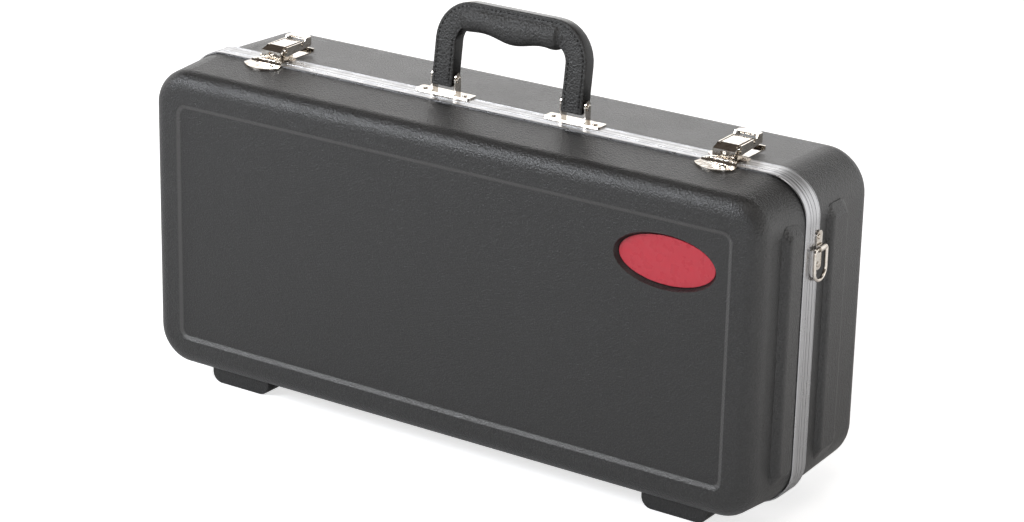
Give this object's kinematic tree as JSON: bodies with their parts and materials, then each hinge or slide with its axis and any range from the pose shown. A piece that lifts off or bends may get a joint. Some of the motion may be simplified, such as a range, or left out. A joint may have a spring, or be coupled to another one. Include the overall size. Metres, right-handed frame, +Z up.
{
  "type": "trumpet case",
  "caption": "Rectangular moulded trumpet case with aluminium band, draw latches, leather handle, hinged lid and a lined foam insert shaped for the instrument.",
  "frame": {"origin": "centre of the bounding box in X and Y, on the floor plane under the feet", "axes": "+X along the length, towards the end with the badge; -Y out of the lid; +Z up, as the case stands"},
  "size_m": [0.5758, 0.161, 0.342],
  "materials": {
    "shell_plastic": "satin",
    "band_aluminium": "satin",
    "badge_enamel": "gloss",
    "foam": "matte",
    "plush": "matte",
    "leather": "satin",
    "steel": "satin",
    "rivet_metal": "polished",
    "nickel": "polished"
  },
  "bodies": {
    "case": {"rear_shell": "shell_plastic", "rear_valance": "band_aluminium", "rear_foam": "foam", "rear_lining": "plush", "rear_hinge_rivets": "rivet_metal", "handle_rivets": "rivet_metal", "left_hinge_rear_leaf": "nickel", "left_hinge_pin": "nickel", "middle_hinge_rear_leaf": "nickel", "middle_hinge_pin": "nickel", "right_hinge_rear_leaf": "nickel", "right_hinge_pin": "nickel", "left_handle_plate": "nickel", "left_handle_pin": "nickel", "left_ring_clip": "nickel", "left_clip_rivets": "rivet_metal", "left_latch_base": "nickel", "left_latch_rivets": "rivet_metal", "left_lever_pivots": "nickel", "right_handle_plate": "nickel", "right_handle_pin": "nickel", "right_ring_clip": "nickel", "right_clip_rivets": "rivet_metal", "right_latch_base": "nickel", "right_latch_rivets": "rivet_metal", "right_lever_pivots": "nickel"},
    "lid": {"front_shell": "shell_plastic", "front_valance": "band_aluminium", "badge": "badge_enamel", "front_foam": "foam", "front_lining": "plush", "front_hinge_rivets": "rivet_metal", "left_hinge_front_leaf": "nickel", "middle_hinge_front_leaf": "nickel", "right_hinge_front_leaf": "nickel", "left_latch_keeper": "nickel", "left_keeper_rivets": "rivet_metal", "right_latch_keeper": "nickel", "right_keeper_rivets": "rivet_metal"},
    "handle": {"handle_core": "steel", "handle_strap": "leather", "handle_grip": "leather"},
    "left_lever": {"left_latch_lever": "nickel", "left_hook_pin": "nickel"},
    "left_hook": {"left_latch_hook": "nickel"},
    "left_ring": {"left_strap_ring": "nickel"},
    "right_lever": {"right_latch_lever": "nickel", "right_hook_pin": "nickel"},
    "right_hook": {"right_latch_hook": "nickel"},
    "right_ring": {"right_strap_ring": "nickel"}
  },
  "joints": [
    {"name": "lid_hinge", "type": "hinge", "parent": "case", "child": "lid", "pos_m": [0, -0.0165, 0.0083], "axis": [1, 0, 0], "range_deg": [0, 110]},
    {"name": "handle_pivot", "type": "hinge", "parent": "case", "child": "handle", "pos_m": [0.0143, -0.0073, 0.2798], "axis": [1, 0, 0], "range_deg": [-80, 96]},
    {"name": "left_lever_pivot", "type": "hinge", "parent": "case", "child": "left_lever", "pos_m": [-0.205, -0.0115, 0.2737], "axis": [1, 0, 0], "range_deg": [0, 100]},
    {"name": "left_hook_pivot", "type": "hinge", "parent": "left_lever", "child": "left_hook", "pos_m": [-0.205, 0.0085, 0.2756], "axis": [1, 0, 0], "range_deg": [-100, 0]},
    {"name": "left_ring_swing", "type": "hinge", "parent": "case", "child": "left_ring", "pos_m": [-0.28525, -0.0073, 0.2129], "axis": [0, 1, 0], "range_deg": [0, 150]},
    {"name": "right_lever_pivot", "type": "hinge", "parent": "case", "child": "right_lever", "pos_m": [0.209, -0.0115, 0.2737], "axis": [1, 0, 0], "range_deg": [0, 100]},
    {"name": "right_hook_pivot", "type": "hinge", "parent": "right_lever", "child": "right_hook", "pos_m": [0.209, 0.0085, 0.2756], "axis": [1, 0, 0], "range_deg": [-100, 0]},
    {"name": "right_ring_swing", "type": "hinge", "parent": "case", "child": "right_ring", "pos_m": [0.28525, -0.0073, 0.2129], "axis": [0, -1, 0], "range_deg": [0, 150]}
  ],
  "couplings": [
    {"joint": "left_hook_pivot", "follows": "left_lever_pivot", "ratio": -1},
    {"joint": "right_hook_pivot", "follows": "right_lever_pivot", "ratio": -1}
  ]
}
